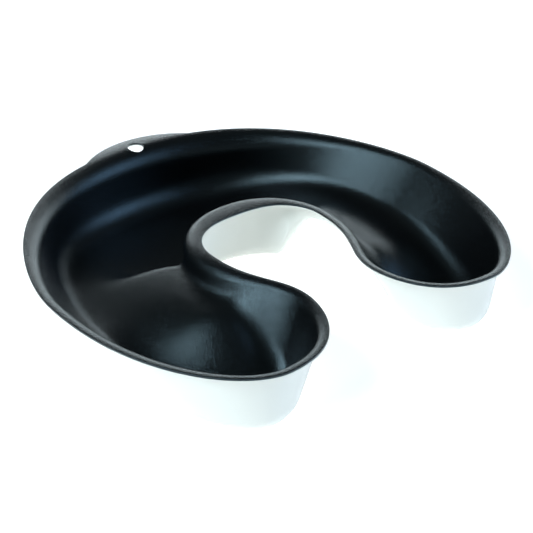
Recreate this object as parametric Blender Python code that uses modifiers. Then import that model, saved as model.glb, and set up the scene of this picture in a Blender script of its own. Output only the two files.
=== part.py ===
"""Salon neck tray: a C-shaped drip trough that rests on the shoulders and closes round the neck.

It is formed from a two-layer sheet, a white outside and a black grained inside, kept here as two
thin nested shells. The tray is mirrored about x = 0, opens towards -Y, and stands on z = 0.
"""

import math

import bmesh
import bpy
from mathutils import Matrix, Vector

MM = 0.001
EAST, SOUTH, WEST, NORTH = Vector((1, 0)), Vector((0, -1)), Vector((-1, 0)), Vector((0, 1))

# Heights and sheet thicknesses, in millimetres.
HEIGHT = 70.5              # table to the crest of the rim
WHITE_THICKNESS = 1.2      # outer layer
LAYER_GAP = 0.3            # clearance between the two layers
BLACK_THICKNESS = 1.7      # inner layer

# The tray in plan, right half, as smooth curves from the back of the trough, round the outside and
# the lobe's tip, back up the gap and round to the back of the neck. Each knot holds x, y, the
# heading of the curve there, and the lengths of its handles before and after the knot.
RIM = (
    (0.0, 214.2, EAST, 0.0, 166.0),
    (215.5, -4.8, SOUTH, 58.4, 125.4),
    (111.0, -195.5, WEST, 40.2, 64.5),
    (35.3, -120.8, NORTH, 18.0, 34.7),
    (62.7, -20.1, NORTH, 54.5, 27.5),
    (0.0, 42.7, WEST, 45.7, 0.0),
)
FLOOR = (
    (0.0, 170.0, EAST, 0.0, 130.0),
    (168.0, -5.0, SOUTH, 58.0, 96.0),
    (112.0, -161.5, WEST, 33.0, 15.0),
    (84.0, -123.0, NORTH, 21.0, 34.0),
    (88.0, -20.0, NORTH, 46.0, 44.0),
    (0.0, 64.7, WEST, 48.0, 0.0),
)

# Radii of the underside's two bends at each knot, below the rim and at the floor.
LIP_RADII = (18.0, 8.0, 7.0, 7.0, 11.0, 7.0)
FILLET_RADII = (30.0, 18.0, 22.0, 26.0, 24.0, 14.0)
RIM_LAND = 1.5             # flat strip along the rim's edge

# The hang tab, a crescent added to the rim at the back, and the hole punched in front of it.
TAB_HALF_WIDTH = 62.0
TAB_REACH = 15.0
HOLE_RADIUS = 8.5
HOLE_INSET = 3.5           # hole centre, in from the rim's outline
HOLE_TILT = 12.0           # degrees, square to the sheet where it bends

# How the trough's floor lies on its outer side and on its neck side: the depth of its underside
# below the rim's at the shoulder arch, and the stretch of y over which it drops from there to the
# lobe. Behind the arch each climbs to it between two angles about the neck's centre, in degrees
# from the back.
NECK_CENTRE_Y = -20.0
OUTER_SIDE = {"arch": 43.0, "climb": (8.0, 70.0), "drop": (-5.0, -140.0)}
NECK_SIDE = {"arch": 21.0, "climb": (42.0, 70.0), "drop": (-66.0, -150.0)}

# How finely the loft is divided.
TAB_STEPS = 4
SIDE_STEPS = 12
NECK_TO_GAP_STEPS = 5
GAP_TO_TIP_STEPS = 7
LIP_STEPS = 3
FILLET_STEPS = 3
FLOOR_STEPS = 4

SHEET = WHITE_THICKNESS + LAYER_GAP + BLACK_THICKNESS
MIDDLE_Y = (RIM[0][1] + TAB_REACH + RIM[2][1]) / 2.0


def smooth(t):
    """0 to 1 with level ends, for t clamped to 0 to 1."""
    t = min(max(t, 0.0), 1.0)
    return t * t * (3.0 - 2.0 * t)


def mix(a, b, t):
    return a + (b - a) * t


def curve_point(knots, station):
    """The point of an outline at a station, which is a stretch's number and 0 to 1 along it."""
    stretch, t = station
    x0, y0, heading0, _, handle0 = knots[stretch]
    x3, y3, heading3, handle3, _ = knots[stretch + 1]
    p0 = Vector((x0, y0))
    p3 = Vector((x3, y3))
    p1 = p0 + heading0 * handle0
    p2 = p3 - heading3 * handle3
    s = 1.0 - t
    return p0 * s**3 + p1 * (3.0 * s * s * t) + p2 * (3.0 * s * t * t) + p3 * t**3


def radius_at(radii, station):
    stretch, t = station
    return mix(radii[stretch], radii[stretch + 1], smooth(t))


def neck_angle(point):
    """Angle of a point about the neck's centre, in degrees from the back."""
    return math.degrees(math.atan2(point.x, point.y - NECK_CENTRE_Y))


def solve(rising, target):
    """Where between 0 and 1 a rising function meets a target."""
    low, high = 0.0, 1.0
    for _ in range(40):
        middle = (low + high) / 2.0
        if rising(middle) < target:
            low = middle
        else:
            high = middle
    return low


def outer_stations():
    """Stations from the back, round the outside, to the lobe's tip."""
    end = solve(lambda t: curve_point(RIM, (0, t)).x, TAB_HALF_WIDTH)
    lobe_steps = NECK_TO_GAP_STEPS + GAP_TO_TIP_STEPS
    stations = [(0, end * i / TAB_STEPS) for i in range(TAB_STEPS)]
    stations += [(0, mix(end, 1.0, i / SIDE_STEPS)) for i in range(SIDE_STEPS)]
    stations += [(1, i / lobe_steps) for i in range(lobe_steps + 1)]
    return stations


def inner_stations(outer):
    """Stations from the back of the neck to the lobe's tip, one for each outer station.

    Behind the shoulders they face the outer stations, at like angles about the neck.
    """
    behind = outer[:TAB_STEPS + SIDE_STEPS]
    widest = neck_angle(curve_point(FLOOR, (1, 0.0)))
    stations = []
    for station in behind:
        angle = 90.0 * neck_angle(curve_point(FLOOR, station)) / widest
        stations.append((4, 1.0 - solve(lambda t: neck_angle(curve_point(FLOOR, (4, 1.0 - t))), angle)))
    stations += [(3, 1.0 - i / NECK_TO_GAP_STEPS) for i in range(NECK_TO_GAP_STEPS)]
    stations += [(2, 1.0 - i / GAP_TO_TIP_STEPS) for i in range(GAP_TO_TIP_STEPS + 1)]
    return stations


def ramp(value, ends):
    """0 at the first end to 1 at the second, level at both."""
    return smooth((value - ends[0]) / (ends[1] - ends[0]))


def floor_depth(floor_edge, side):
    """Depth of the trough's underside below the rim's, at a point on the floor's edge."""
    arch = ramp(neck_angle(floor_edge), side["climb"]) - ramp(floor_edge.y, side["drop"])
    return mix(HEIGHT - SHEET, side["arch"], arch)


def tab_width(point):
    """How far the hang tab reaches beyond the rim's outline."""
    if point.y < NECK_CENTRE_Y or abs(point.x) > TAB_HALF_WIDTH:
        return 0.0
    return TAB_REACH * (1.0 - (point.x / TAB_HALF_WIDTH) ** 2)


def section(run, depth, lip_radius, fillet_radius, tab):
    """Points (inward, up) of the underside from the rim's edge to the floor, from the rim's height."""
    across = run - RIM_LAND
    fillet = min(fillet_radius, (across**2 + depth**2) / (2.0 * depth) - lip_radius - 1.0)
    bends = lip_radius + fillet
    wall = math.sqrt(across**2 + depth**2 - 2.0 * depth * bends)
    turn = math.atan2(depth - bends, across) + math.atan2(bends, wall)
    points = [(-tab, 0.0)]
    for i in range(LIP_STEPS + 1):
        angle = turn * i / LIP_STEPS
        points.append((RIM_LAND + lip_radius * math.sin(angle), lip_radius * (math.cos(angle) - 1.0)))
    for i in range(FILLET_STEPS + 1):
        angle = turn * (1.0 - i / FILLET_STEPS)
        points.append((run - fillet * math.sin(angle), fillet * (1.0 - math.cos(angle)) - depth))
    return points


def column(bm, station, side):
    """The vertices of one section, from the rim edge to the floor."""
    rim = curve_point(RIM, station)
    floor = curve_point(FLOOR, station)
    inward = (floor - rim).normalized()
    run = (floor - rim).length
    lip_radius, fillet_radius = (radius_at(radii, station) for radii in (LIP_RADII, FILLET_RADII))
    vertices = []
    for across, up in section(run, floor_depth(floor, side), lip_radius, fillet_radius, tab_width(rim)):
        at = rim + inward * across
        height = HEIGHT - SHEET + up
        vertices.append(bm.verts.new((at.x * MM, (at.y - MIDDLE_Y) * MM, height * MM)))
    return vertices


def floor_between(bm, outer, inner):
    """The vertices across the floor between its outer and inner edges, level at both."""
    vertices = []
    for i in range(1, FLOOR_STEPS):
        across = i / FLOOR_STEPS
        at = outer.co.lerp(inner.co, across)
        at.z = mix(outer.co.z, inner.co.z, smooth(across))
        vertices.append(bm.verts.new(at))
    return vertices


def half_trough():
    """The right half of the trough's underside, lofted section by section, open at x = 0."""
    bm = bmesh.new()
    outer_side = outer_stations()
    pairs = list(zip(outer_side, inner_stations(outer_side)))
    rows = []
    for outer, inner in pairs[:-1]:
        outside = column(bm, outer, OUTER_SIDE)
        inside = column(bm, inner, NECK_SIDE)
        rows.append(outside + floor_between(bm, outside[-1], inside[-1]) + inside[::-1])
    for row, following in zip(rows, rows[1:]):
        for i in range(len(row) - 1):
            bm.faces.new((row[i], row[i + 1], following[i + 1], following[i]))

    # The last section closes round the lobe's tip, where the outer and inner sides meet.
    tip = column(bm, pairs[-1][0], OUTER_SIDE)
    last = rows[-1]
    for i in range(len(tip) - 1):
        bm.faces.new((last[i], last[i + 1], tip[i + 1], tip[i]))
        bm.faces.new((last[-2 - i], last[-1 - i], tip[i], tip[i + 1]))
    for i in range(len(tip) - 1, len(tip) - 1 + FLOOR_STEPS):
        bm.faces.new((last[i], last[i + 1], tip[-1]))

    bmesh.ops.recalc_face_normals(bm, faces=bm.faces)
    bm.normal_update()
    if sum(face.normal.z * face.calc_area() for face in bm.faces) < 0.0:
        bmesh.ops.reverse_faces(bm, faces=bm.faces)
        bm.normal_update()
    return bm


def raise_surface(bm, distance):
    """Moves the surface along its normals, keeping the same clearance all over."""
    moves = []
    for vertex in bm.verts:
        normal = vertex.normal.copy()
        if abs(vertex.co.x) < 1e-7:
            normal.x = 0.0
        moves.append(normal.normalized() * distance * vertex.calc_shell_factor())
    for vertex, move in zip(bm.verts, moves):
        vertex.co += move


def shell(name, bm, thickness, collection, cutter):
    """A closed shell: the half surface mirrored, thickened upwards and punched by the cutter."""
    mesh = bpy.data.meshes.new(name)
    bm.to_mesh(mesh)
    bm.free()
    mesh.shade_smooth()
    mesh.set_sharp_from_angle(angle=math.radians(50))
    shell_object = bpy.data.objects.new(name, mesh)
    collection.objects.link(shell_object)

    mirror = shell_object.modifiers.new("both_halves", "MIRROR")
    mirror.merge_threshold = 0.00001
    solidify = shell_object.modifiers.new("thickness", "SOLIDIFY")
    solidify.thickness = thickness * MM
    solidify.offset = 1.0
    solidify.use_even_offset = True
    punch = shell_object.modifiers.new("hang_hole", "BOOLEAN")
    punch.operation = "DIFFERENCE"
    punch.object = cutter
    return shell_object


def hole_cutter(collection):
    """A cylinder through the sheet in front of the hang tab."""
    bm = bmesh.new()
    bmesh.ops.create_cone(
        bm, cap_ends=True, segments=24, radius1=HOLE_RADIUS * MM, radius2=HOLE_RADIUS * MM, depth=16.0 * MM
    )
    mesh = bpy.data.meshes.new("hang_hole_cutter")
    bm.to_mesh(mesh)
    bm.free()
    cutter = bpy.data.objects.new("hang_hole_cutter", mesh)
    centre = Vector((0.0, RIM[0][1] - HOLE_INSET - MIDDLE_Y, HEIGHT - SHEET / 2.0)) * MM
    cutter.matrix_world = Matrix.Translation(centre) @ Matrix.Rotation(math.radians(HOLE_TILT), 4, "X")
    cutter.hide_render = True
    cutter.display_type = "WIRE"
    collection.objects.link(cutter)
    return cutter


def plastic(name, colour, roughness):
    material = bpy.data.materials.new(name)
    material.use_nodes = True
    shader = material.node_tree.nodes["Principled BSDF"]
    shader.inputs["Base Color"].default_value = (*colour, 1.0)
    shader.inputs["Roughness"].default_value = roughness
    shader.inputs["Metallic"].default_value = 0.0
    return material


def outer_shell(collection, cutter):
    """The white layer, whose flat sump and lobe floors the tray stands on."""
    bm = half_trough()
    white = shell("outer_shell", bm, WHITE_THICKNESS, collection, cutter)
    white.data.materials.append(plastic("white_abs", (0.86, 0.88, 0.86), 0.25))


def inner_liner(collection, cutter):
    """The black grained layer that lines the trough and covers the rim."""
    bm = half_trough()
    raise_surface(bm, (WHITE_THICKNESS + LAYER_GAP) * MM)
    black = shell("inner_liner", bm, BLACK_THICKNESS, collection, cutter)
    black.data.materials.append(plastic("black_abs", (0.012, 0.013, 0.015), 0.35))


def new_collection(name):
    collection = bpy.data.collections.new(name)
    bpy.context.scene.collection.children.link(collection)
    return collection


def main():
    for old in list(bpy.data.objects):
        bpy.data.objects.remove(old, do_unlink=True)
    tray = new_collection("neck_tray")
    cutter = hole_cutter(new_collection("cutters"))
    outer_shell(tray, cutter)
    inner_liner(tray, cutter)
    bpy.context.view_layer.update()


main()
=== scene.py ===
"""Looks of the salon neck tray: both layers of the formed sheet at full smoothness, with their plastics.

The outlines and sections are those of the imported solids, lofted much more finely. Plan sizes are in
millimetres, and the tray stands on z = 0, opens towards -Y and is mirrored about x = 0.
"""

import math

import bmesh
import bpy
from mathutils import Matrix, Vector


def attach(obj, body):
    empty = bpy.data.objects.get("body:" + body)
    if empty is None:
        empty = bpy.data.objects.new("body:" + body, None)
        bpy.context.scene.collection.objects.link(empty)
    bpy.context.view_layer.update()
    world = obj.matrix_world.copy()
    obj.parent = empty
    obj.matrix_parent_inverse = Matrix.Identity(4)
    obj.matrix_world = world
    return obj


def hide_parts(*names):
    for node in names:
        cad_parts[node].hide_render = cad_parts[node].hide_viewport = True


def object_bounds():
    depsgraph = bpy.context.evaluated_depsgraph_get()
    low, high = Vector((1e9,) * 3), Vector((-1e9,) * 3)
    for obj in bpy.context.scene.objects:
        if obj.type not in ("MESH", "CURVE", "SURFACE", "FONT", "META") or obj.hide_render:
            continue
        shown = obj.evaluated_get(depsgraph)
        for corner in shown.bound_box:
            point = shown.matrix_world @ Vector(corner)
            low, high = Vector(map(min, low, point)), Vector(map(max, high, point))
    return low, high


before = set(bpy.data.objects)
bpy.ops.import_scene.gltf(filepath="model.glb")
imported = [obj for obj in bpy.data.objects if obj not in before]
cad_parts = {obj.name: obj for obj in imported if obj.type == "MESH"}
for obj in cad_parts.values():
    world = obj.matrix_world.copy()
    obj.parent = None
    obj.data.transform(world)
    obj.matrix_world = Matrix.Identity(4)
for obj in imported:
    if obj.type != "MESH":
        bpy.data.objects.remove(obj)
cad_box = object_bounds()

MM = 0.001
EAST, SOUTH, WEST, NORTH = Vector((1, 0)), Vector((0, -1)), Vector((-1, 0)), Vector((0, 1))

# Heights and sheet thicknesses. The layers are bonded, so the clearance is only what keeps them apart.
HEIGHT = cad_box[1][2] / MM
SHEET = 3.2
WHITE_THICKNESS = 1.2
LAYER_GAP = 0.04
EDGE_ROUNDING = 0.3

# The right half of the tray in plan: the rim's outline and the edge of the trough's floor. Both run from
# the back round the outside to the lobe's tip, then up the gap and round behind the neck. Each knot holds
# x, y, the heading, and the lengths of its handles before and after it.
RIM = (
    (0.0, 214.2, EAST, 0.0, 166.0),
    (215.5, -4.8, SOUTH, 58.4, 125.4),
    (111.0, -195.5, WEST, 40.2, 64.5),
    (35.3, -120.8, NORTH, 18.0, 34.7),
    (62.7, -20.1, NORTH, 54.5, 27.5),
    (0.0, 42.7, WEST, 45.7, 0.0),
)
FLOOR = (
    (0.0, 170.0, EAST, 0.0, 130.0),
    (168.0, -5.0, SOUTH, 58.0, 96.0),
    (112.0, -161.5, WEST, 33.0, 15.0),
    (84.0, -123.0, NORTH, 21.0, 34.0),
    (88.0, -20.0, NORTH, 46.0, 44.0),
    (0.0, 64.7, WEST, 48.0, 0.0),
)

# Radii of the underside's two bends at each knot, below the rim and at the floor.
LIP_RADII = (18.0, 8.0, 7.0, 7.0, 11.0, 7.0)
FILLET_RADII = (30.0, 18.0, 22.0, 26.0, 24.0, 14.0)
RIM_LAND = 1.5
FILLET_MARGIN = 1.0

TAB_HALF_WIDTH = 62.0
TAB_REACH = 15.0
HOLE_RADIUS = 8.5
HOLE_INSET = 3.5
HOLE_TILT = 12.0
CUTTER_DEPTH = 16.0
CUTTER_SEGMENTS = 96

# Each side of the floor: its depth at the shoulder arch, the angles about the neck over which it climbs to
# the arch from the back, and the y over which it drops again into the lobe.
NECK_CENTRE_Y = -20.0
OUTER_SIDE = {"arch": 43.0, "climb": (8.0, 70.0), "drop": (-5.0, -140.0)}
NECK_SIDE = {"arch": 21.0, "climb": (42.0, 70.0), "drop": (-66.0, -150.0)}

# Steps along the outline, then across a section and round a cut edge, and the halvings of a search.
TAB_STEPS = 12
SIDE_STEPS = 36
NECK_TO_GAP_STEPS = 18
GAP_TO_TIP_STEPS = 24
LIP_STEPS = 8
FILLET_STEPS = 8
FLOOR_STEPS = 12
EDGE_STEPS = 3
HALVINGS = 40

# How near the mirror plane a vertex counts as on it, how near two are merged there, both in metres, and
# the angle in degrees above which an edge stays sharp.
ON_PLANE = 1e-7
MERGE_DISTANCE = 0.00001
SHARP_ANGLE = 45.0

MIDDLE_Y = (RIM[0][1] + TAB_REACH + RIM[2][1]) / 2.0

# The materials. A noise texture's values lie mostly between the ends of its range. Scales are per metre,
# and a bump is its strength and its height in metres.
NOISE_RANGE = (0.3, 0.7)
PEBBLE_SCALE = 900.0
PEBBLE_SMOOTHNESS = 0.6
CREASE_SCALE = 1500.0
GRAIN_BUMP = (0.5, 0.0004)
WAVE_SCALE = 60.0
WAVE_BUMP = (0.12, 0.001)
PEEL_SCALE = 700.0
PEEL_BUMP = (0.08, 0.0002)
BLACK_FINISH = {
    "cloud_scale": 14.0,
    "roughness": (0.2, 0.26),
    "tones": ((0.0014, 0.0018, 0.0022), (0.0026, 0.003, 0.0035)),
    "ior": 1.52,
}
BLACK_SHEEN = (0.62, 0.88, 1.0, 1.0)
WHITE_FINISH = {
    "cloud_scale": 9.0,
    "roughness": (0.16, 0.26),
    "tones": ((0.755, 0.79, 0.755), (0.785, 0.815, 0.78)),
    "ior": 1.5,
}

# The table, in metres, just under the tray.
TABLE_SIZE = 12.0
TABLE_DROP = 0.0003
TABLE_COLOUR = (0.92, 0.92, 0.92, 1.0)
TABLE_ROUGHNESS = 0.9
TABLE_GLOW = 0.6

# The studio's lights, as colours and strengths by direction. Turns are in degrees from +Y towards +X, and
# rises in degrees above the horizon. A panel's top is the two rises between which it fades out, and sides
# or edges are the cosines, of the angle from a light's middle, between which it fades out.
FILL = (0.09, 0.1, 0.1)
PANELS = (
    {"colour": (3.3, 3.6, 3.7), "turn": 42.0, "top": (12.0, 23.0), "sides": (0.86, 0.72)},
    {"colour": (0.4, 0.42, 0.41), "turn": -135.0, "top": (10.0, 20.0), "sides": (0.7, 0.3)},
)
LAMPS = (
    {"colour": (12.0, 13.6, 14.4), "turn": -86.0, "rise": 42.0, "edges": (0.988, 0.955)},
    {"colour": (1.9, 2.7, 3.8), "turn": 128.0, "rise": 27.0, "edges": (0.98, 0.93)},
)

# The camera, in metres and degrees, with its sensor and lens in millimetres.
CAMERA_PLACE = (-0.52569, -0.72321, 0.56985)
CAMERA_TILT = 58.24
CAMERA_TURN = -37.37
CAMERA_SENSOR = 36.0
CAMERA_LENS = 73.67


def smooth(t):
    """0 to 1 with level ends, for t clamped to 0 to 1."""
    t = min(max(t, 0.0), 1.0)
    return t * t * (3.0 - 2.0 * t)


def mix(a, b, t):
    return a + (b - a) * t


def ramp(value, ends):
    """0 at the first end to 1 at the second, level at both."""
    return smooth((value - ends[0]) / (ends[1] - ends[0]))


def curve_point(knots, station):
    """The point of an outline at a station, which is a stretch's number and 0 to 1 along it."""
    stretch, t = station
    x0, y0, heading0, _, handle0 = knots[stretch]
    x3, y3, heading3, handle3, _ = knots[stretch + 1]
    p0 = Vector((x0, y0))
    p3 = Vector((x3, y3))
    p1 = p0 + heading0 * handle0
    p2 = p3 - heading3 * handle3
    s = 1.0 - t
    return p0 * s**3 + p1 * (3.0 * s * s * t) + p2 * (3.0 * s * t * t) + p3 * t**3


def radius_at(radii, station):
    stretch, t = station
    return mix(radii[stretch], radii[stretch + 1], smooth(t))


def neck_angle(point):
    """Angle of a point about the neck's centre, in degrees from the back."""
    return math.degrees(math.atan2(point.x, point.y - NECK_CENTRE_Y))


def solve(rising, target):
    """Where between 0 and 1 a rising function meets a target."""
    low, high = 0.0, 1.0
    for _ in range(HALVINGS):
        middle = (low + high) / 2.0
        if rising(middle) < target:
            low = middle
        else:
            high = middle
    return low


def outer_stations():
    """Stations from the back, round the outside, to the lobe's tip."""
    end = solve(lambda t: curve_point(RIM, (0, t)).x, TAB_HALF_WIDTH)
    lobe_steps = NECK_TO_GAP_STEPS + GAP_TO_TIP_STEPS
    stations = [(0, end * i / TAB_STEPS) for i in range(TAB_STEPS)]
    stations += [(0, mix(end, 1.0, i / SIDE_STEPS)) for i in range(SIDE_STEPS)]
    stations += [(1, i / lobe_steps) for i in range(lobe_steps + 1)]
    return stations


def inner_stations(outer):
    """Stations from the back of the neck to the lobe's tip, one for each outer station.

    Behind the shoulders they face the outer stations, at like angles about the neck.
    """
    behind = outer[:TAB_STEPS + SIDE_STEPS]
    widest = neck_angle(curve_point(FLOOR, (1, 0.0)))
    stations = []
    for station in behind:
        angle = 90.0 * neck_angle(curve_point(FLOOR, station)) / widest
        stations.append((4, 1.0 - solve(lambda t: neck_angle(curve_point(FLOOR, (4, 1.0 - t))), angle)))
    stations += [(3, 1.0 - i / NECK_TO_GAP_STEPS) for i in range(NECK_TO_GAP_STEPS)]
    stations += [(2, 1.0 - i / GAP_TO_TIP_STEPS) for i in range(GAP_TO_TIP_STEPS + 1)]
    return stations


def floor_depth(floor_edge, side):
    """Depth of the trough's underside below the rim's, at a point on the floor's edge."""
    arch = ramp(neck_angle(floor_edge), side["climb"]) - ramp(floor_edge.y, side["drop"])
    return mix(HEIGHT - SHEET, side["arch"], arch)


def tab_width(point):
    """How far the hang tab reaches beyond the rim's outline."""
    if point.y < NECK_CENTRE_Y or abs(point.x) > TAB_HALF_WIDTH:
        return 0.0
    return TAB_REACH * (1.0 - (point.x / TAB_HALF_WIDTH) ** 2)


def section(run, depth, lip_radius, fillet_radius, tab):
    """Points (inward, up) of the underside, from the rim's edge to the floor, with the rim at height 0."""
    across = run - RIM_LAND
    largest = (across**2 + depth**2) / (2.0 * depth) - lip_radius - FILLET_MARGIN
    fillet = min(fillet_radius, largest)
    bends = lip_radius + fillet
    wall = math.sqrt(across**2 + depth**2 - 2.0 * depth * bends)
    turn = math.atan2(depth - bends, across) + math.atan2(bends, wall)
    points = [(EDGE_ROUNDING - tab, 0.0)]
    for i in range(LIP_STEPS + 1):
        angle = turn * i / LIP_STEPS
        points.append((RIM_LAND + lip_radius * math.sin(angle), lip_radius * (math.cos(angle) - 1.0)))
    for i in range(FILLET_STEPS + 1):
        angle = turn * (1.0 - i / FILLET_STEPS)
        points.append((run - fillet * math.sin(angle), fillet * (1.0 - math.cos(angle)) - depth))
    return points


def column(bm, station, side):
    """The vertices of one section, from the rim edge to the floor, and the way out at the edge."""
    rim = curve_point(RIM, station)
    floor = curve_point(FLOOR, station)
    inward = (floor - rim).normalized()
    run = (floor - rim).length
    lip_radius, fillet_radius = (radius_at(radii, station) for radii in (LIP_RADII, FILLET_RADII))
    vertices = []
    for across, up in section(run, floor_depth(floor, side), lip_radius, fillet_radius, tab_width(rim)):
        at = rim + inward * across
        height = HEIGHT - SHEET + up
        vertices.append(bm.verts.new((at.x * MM, (at.y - MIDDLE_Y) * MM, height * MM)))
    return vertices, Vector((-inward.x, -inward.y, 0.0))


def floor_between(bm, outer, inner):
    """The vertices across the floor between its outer and inner edges, level at both."""
    vertices = []
    for i in range(1, FLOOR_STEPS):
        across = i / FLOOR_STEPS
        at = outer.co.lerp(inner.co, across)
        at.z = mix(outer.co.z, inner.co.z, smooth(across))
        vertices.append(bm.verts.new(at))
    return vertices


def half_trough():
    """The right half of the trough's underside, lofted section by section, open at x = 0.

    With it come the rim's vertices in order, from the back round to the neck, and their ways out.
    """
    bm = bmesh.new()
    outer_side = outer_stations()
    pairs = list(zip(outer_side, inner_stations(outer_side)))
    rows = []
    outer_rim = []
    inner_rim = []
    for outer, inner in pairs[:-1]:
        outside, outside_way = column(bm, outer, OUTER_SIDE)
        inside, inside_way = column(bm, inner, NECK_SIDE)
        rows.append(outside + floor_between(bm, outside[-1], inside[-1]) + inside[::-1])
        outer_rim.append((outside[0], outside_way))
        inner_rim.append((inside[0], inside_way))
    for row, following in zip(rows, rows[1:]):
        for i in range(len(row) - 1):
            bm.faces.new((row[i], row[i + 1], following[i + 1], following[i]))

    # The last section closes round the lobe's tip, where the outer and inner sides meet.
    tip, tip_way = column(bm, pairs[-1][0], OUTER_SIDE)
    last = rows[-1]
    for i in range(len(tip) - 1):
        bm.faces.new((last[i], last[i + 1], tip[i + 1], tip[i]))
        bm.faces.new((last[-2 - i], last[-1 - i], tip[i], tip[i + 1]))
    for i in range(len(tip) - 1, len(tip) - 1 + FLOOR_STEPS):
        bm.faces.new((last[i], last[i + 1], tip[-1]))

    bmesh.ops.recalc_face_normals(bm, faces=bm.faces)
    bm.normal_update()
    if sum(face.normal.z * face.calc_area() for face in bm.faces) < 0.0:
        bmesh.ops.reverse_faces(bm, faces=bm.faces)
        bm.normal_update()
    bm.verts.index_update()
    rim = outer_rim + [(tip[0], tip_way)] + inner_rim[::-1]
    return bm, [(vertex.index, way) for vertex, way in rim]


def raise_surface(bm, distance):
    """Moves the surface along its normals, keeping the same clearance all over."""
    moves = []
    for vertex in bm.verts:
        normal = vertex.normal.copy()
        if abs(vertex.co.x) < ON_PLANE:
            normal.x = 0.0
        moves.append(normal.normalized() * distance * vertex.calc_shell_factor())
    for vertex, move in zip(bm.verts, moves):
        vertex.co += move


def hole_cutter():
    """A cylinder through the sheet in front of the hang tab."""
    bm = bmesh.new()
    bmesh.ops.create_cone(
        bm,
        cap_ends=True,
        segments=CUTTER_SEGMENTS,
        radius1=HOLE_RADIUS * MM,
        radius2=HOLE_RADIUS * MM,
        depth=CUTTER_DEPTH * MM,
    )
    mesh = bpy.data.meshes.new("hang_hole_cutter")
    bm.to_mesh(mesh)
    bm.free()
    cutter = bpy.data.objects.new("hang_hole_cutter", mesh)
    centre = Vector((0.0, RIM[0][1] - HOLE_INSET - MIDDLE_Y, HEIGHT - SHEET / 2.0)) * MM
    cutter.matrix_world = Matrix.Translation(centre) @ Matrix.Rotation(math.radians(HOLE_TILT), 4, "X")
    bpy.context.scene.collection.objects.link(cutter)
    return cutter


def eased_edge(thickness):
    """Points (out, up) round the cut edge of a layer, from its underside to its top, less both ends."""
    turns = [math.pi / 2.0 * i / EDGE_STEPS for i in range(EDGE_STEPS + 1)]
    lower = [(math.sin(turn), 1.0 - math.cos(turn)) for turn in turns[1:]]
    upper = [(math.cos(turn), thickness / EDGE_ROUNDING - 1.0 + math.sin(turn)) for turn in turns[:-1]]
    return [(out * EDGE_ROUNDING, up * EDGE_ROUNDING) for out, up in lower + upper]


def half_layer(bottom, top):
    """The right half of the layer between two distances above the trough's underside."""
    under, rim = half_trough()
    raise_surface(under, bottom * MM)
    over, _ = half_trough()
    raise_surface(over, top * MM)

    bm = bmesh.new()
    low = [bm.verts.new(vertex.co) for vertex in under.verts]
    high = [bm.verts.new(vertex.co) for vertex in over.verts]
    for face in under.faces:
        corners = [vertex.index for vertex in face.verts]
        bm.faces.new([high[i] for i in corners])
        bm.faces.new([low[i] for i in reversed(corners)])
    under.free()
    over.free()

    chains = [[low[i] for i, _ in rim]]
    for out, up in eased_edge(top - bottom):
        rise = Vector((0.0, 0.0, up * MM))
        chains.append([bm.verts.new(low[i].co + way * out * MM + rise) for i, way in rim])
    chains.append([high[i] for i, _ in rim])
    for chain, above in zip(chains, chains[1:]):
        for i in range(len(rim) - 1):
            bm.faces.new((chain[i], chain[i + 1], above[i + 1], above[i]))
    bmesh.ops.recalc_face_normals(bm, faces=bm.faces)
    return bm


def layer(name, bottom, top, cutter, material):
    """One layer of the sheet, mirrored and with the hang hole punched."""
    bm = half_layer(bottom, top)
    mesh = bpy.data.meshes.new(name)
    bm.to_mesh(mesh)
    bm.free()
    piece = bpy.data.objects.new(name, mesh)
    bpy.context.scene.collection.objects.link(piece)

    mirror = piece.modifiers.new("both_halves", "MIRROR")
    mirror.merge_threshold = MERGE_DISTANCE
    punch = piece.modifiers.new("hang_hole", "BOOLEAN")
    punch.operation = "DIFFERENCE"
    punch.object = cutter

    bpy.context.view_layer.update()
    evaluated = piece.evaluated_get(bpy.context.evaluated_depsgraph_get())
    finished = bpy.data.meshes.new_from_object(evaluated)
    piece.modifiers.clear()
    piece.data = finished
    finished.shade_smooth()
    finished.set_sharp_from_angle(angle=math.radians(SHARP_ANGLE))
    finished.materials.clear()
    finished.materials.append(material)
    return piece


def new_material(name):
    """A material with a Principled shader, and its nodes, links and shader."""
    material = bpy.data.materials.new(name)
    material.use_nodes = True
    nodes = material.node_tree.nodes
    return material, nodes, material.node_tree.links, nodes["Principled BSDF"]


def noise(nodes, links, place, scale, detail=3.0, roughness=0.5):
    """A noise texture fed by the object's own coordinates."""
    texture = nodes.new("ShaderNodeTexNoise")
    texture.inputs["Scale"].default_value = scale
    texture.inputs["Detail"].default_value = detail
    texture.inputs["Roughness"].default_value = roughness
    links.new(place.outputs["Object"], texture.inputs["Vector"])
    return texture


def remap(nodes, links, value, source, target, interpolation="LINEAR"):
    """Maps a value from one pair of ends to another."""
    scale = nodes.new("ShaderNodeMapRange")
    scale.interpolation_type = interpolation
    for end, number in zip(("From Min", "From Max", "To Min", "To Max"), (*source, *target)):
        scale.inputs[end].default_value = number
    links.new(value, scale.inputs["Value"])
    return scale.outputs["Result"]


def two_tone(nodes, links, value, colours):
    """A colour between two, by a noise texture's value."""
    tones = nodes.new("ShaderNodeValToRGB")
    for element, position, colour in zip(tones.color_ramp.elements, NOISE_RANGE, colours):
        element.position = position
        element.color = (*colour, 1.0)
    links.new(value, tones.inputs["Fac"])
    return tones.outputs["Color"]


def bump(nodes, links, height, amount, normal=None):
    """A normal bumped by a height, with the bump's strength and distance, over another normal if given."""
    node = nodes.new("ShaderNodeBump")
    strength, distance = amount
    node.inputs["Strength"].default_value = strength
    node.inputs["Distance"].default_value = distance
    links.new(height, node.inputs["Height"])
    if normal is not None:
        links.new(normal, node.inputs["Normal"])
    return node.outputs["Normal"]


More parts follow.
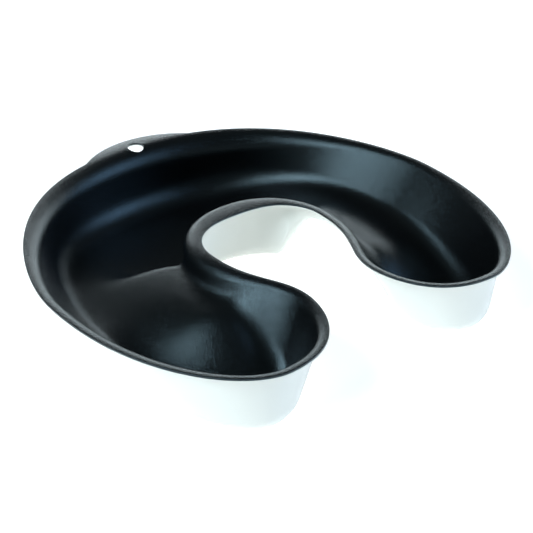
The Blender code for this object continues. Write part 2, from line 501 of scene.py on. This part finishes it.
def finish(nodes, links, place, shader, look):
    """Gives a shader its refraction, and a roughness and colour that drift a little over the surface."""
    clouds = noise(nodes, links, place, look["cloud_scale"]).outputs["Fac"]
    links.new(remap(nodes, links, clouds, NOISE_RANGE, look["roughness"]), shader.inputs["Roughness"])
    links.new(two_tone(nodes, links, clouds, look["tones"]), shader.inputs["Base Color"])
    shader.inputs["IOR"].default_value = look["ior"]


def black_grained_abs():
    """Black sheet with a fine leather-like grain, a soft sheen and faint handling marks."""
    material, nodes, links, shader = new_material("black_abs")
    place = nodes.new("ShaderNodeTexCoord")

    pebbles = nodes.new("ShaderNodeTexVoronoi")
    pebbles.feature = "SMOOTH_F1"
    pebbles.inputs["Scale"].default_value = PEBBLE_SCALE
    pebbles.inputs["Smoothness"].default_value = PEBBLE_SMOOTHNESS
    links.new(place.outputs["Object"], pebbles.inputs["Vector"])
    creases = noise(nodes, links, place, CREASE_SCALE, detail=2.0)
    grained = bump(nodes, links, pebbles.outputs["Distance"], GRAIN_BUMP)
    grained = bump(nodes, links, creases.outputs["Fac"], GRAIN_BUMP, grained)
    links.new(grained, shader.inputs["Normal"])

    finish(nodes, links, place, shader, BLACK_FINISH)
    shader.inputs["Specular Tint"].default_value = BLACK_SHEEN
    return material


def white_gloss_abs():
    """Glossy white sheet, a little uneven from forming, with a trace of cool green in its depth."""
    material, nodes, links, shader = new_material("white_abs")
    place = nodes.new("ShaderNodeTexCoord")
    waves = noise(nodes, links, place, WAVE_SCALE, detail=1.0)
    peel = noise(nodes, links, place, PEEL_SCALE, detail=2.0)
    surface = bump(nodes, links, waves.outputs["Fac"], WAVE_BUMP)
    surface = bump(nodes, links, peel.outputs["Fac"], PEEL_BUMP, surface)
    links.new(surface, shader.inputs["Normal"])

    finish(nodes, links, place, shader, WHITE_FINISH)
    return material


def build_tray():
    """Both layers, each in place of its CAD solid."""
    cutter = hole_cutter()
    white = layer("white_outside", 0.0, WHITE_THICKNESS, cutter, white_gloss_abs())
    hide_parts("outer_shell")
    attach(white, "root")
    black = layer("black_lining", WHITE_THICKNESS + LAYER_GAP, SHEET, cutter, black_grained_abs())
    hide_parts("inner_liner")
    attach(black, "root")
    bpy.data.objects.remove(cutter)


def build_floor():
    """A plain white table, wide enough to fill the view."""
    bpy.ops.mesh.primitive_plane_add(size=TABLE_SIZE, location=(0.0, 0.0, -TABLE_DROP))
    floor = bpy.context.object
    floor.name = "floor"
    material, _, _, shader = new_material("white_table")
    shader.inputs["Base Color"].default_value = TABLE_COLOUR
    shader.inputs["Roughness"].default_value = TABLE_ROUGHNESS
    shader.inputs["Specular IOR Level"].default_value = 0.0
    shader.inputs["Emission Color"].default_value = (1.0, 1.0, 1.0, 1.0)
    shader.inputs["Emission Strength"].default_value = TABLE_GLOW
    floor.data.materials.append(material)


def aim(turn, rise=0.0):
    """The unit vector at a turn from +Y towards +X and a rise above the horizon."""
    turn, rise = math.radians(turn), math.radians(rise)
    return (math.sin(turn) * math.cos(rise), math.cos(turn) * math.cos(rise), math.sin(rise))


def fade(nodes, links, value, ends):
    """1 at the first end to 0 at the second, smoothly."""
    return remap(nodes, links, value, ends, (1.0, 0.0), "SMOOTHSTEP")


def facing(nodes, links, direction, way, edges):
    """1 in a direction, fading out between two cosines from it."""
    cosine = nodes.new("ShaderNodeVectorMath")
    cosine.operation = "DOT_PRODUCT"
    cosine.inputs[1].default_value = way
    links.new(direction, cosine.inputs[0])
    return fade(nodes, links, cosine.outputs["Value"], edges)


def panel(nodes, links, direction, turn, top, sides):
    """1 over an upright panel that stands on the horizon, fading out past its top and sides."""
    parts = nodes.new("ShaderNodeSeparateXYZ")
    links.new(direction, parts.inputs["Vector"])
    below = fade(nodes, links, parts.outputs["Z"], [math.sin(math.radians(angle)) for angle in top])
    both = nodes.new("ShaderNodeMath")
    both.operation = "MULTIPLY"
    links.new(below, both.inputs[0])
    links.new(facing(nodes, links, direction, aim(turn), sides), both.inputs[1])
    return both.outputs["Value"]


def add_light(nodes, links, total, amount, colour):
    """Adds an amount of a colour to a colour."""
    share = nodes.new("ShaderNodeVectorMath")
    share.operation = "SCALE"
    share.inputs[0].default_value = colour
    links.new(amount, share.inputs["Scale"])
    joined = nodes.new("ShaderNodeVectorMath")
    joined.operation = "ADD"
    links.new(total, joined.inputs[0])
    links.new(share.outputs["Vector"], joined.inputs[1])
    return joined.outputs["Vector"]


def build_surroundings():
    """A dark studio with a panel behind the tray, one in front of it, and a lamp on either side."""
    world = bpy.data.worlds.new("studio")
    bpy.context.scene.world = world
    world.use_nodes = True
    nodes = world.node_tree.nodes
    links = world.node_tree.links
    place = nodes.new("ShaderNodeTexCoord")
    direction = place.outputs["Generated"]

    fill = nodes.new("ShaderNodeCombineXYZ")
    for axis, value in zip("XYZ", FILL):
        fill.inputs[axis].default_value = value
    total = fill.outputs["Vector"]
    for light in PANELS:
        amount = panel(nodes, links, direction, light["turn"], light["top"], light["sides"])
        total = add_light(nodes, links, total, amount, light["colour"])
    for light in LAMPS:
        amount = facing(nodes, links, direction, aim(light["turn"], light["rise"]), light["edges"])
        total = add_light(nodes, links, total, amount, light["colour"])
    links.new(total, nodes["Background"].inputs["Color"])


def build_camera():
    """The camera, looking down on the tray from its front left."""
    camera = bpy.data.cameras.new("camera")
    camera.sensor_width = CAMERA_SENSOR
    camera.lens = CAMERA_LENS
    holder = bpy.data.objects.new("camera", camera)
    holder.location = CAMERA_PLACE
    holder.rotation_euler = (math.radians(CAMERA_TILT), 0.0, math.radians(CAMERA_TURN))
    bpy.context.scene.collection.objects.link(holder)
    bpy.context.scene.camera = holder


bpy.context.scene.view_settings.view_transform = "Standard"
build_camera()
build_tray()
build_floor()
build_surroundings()
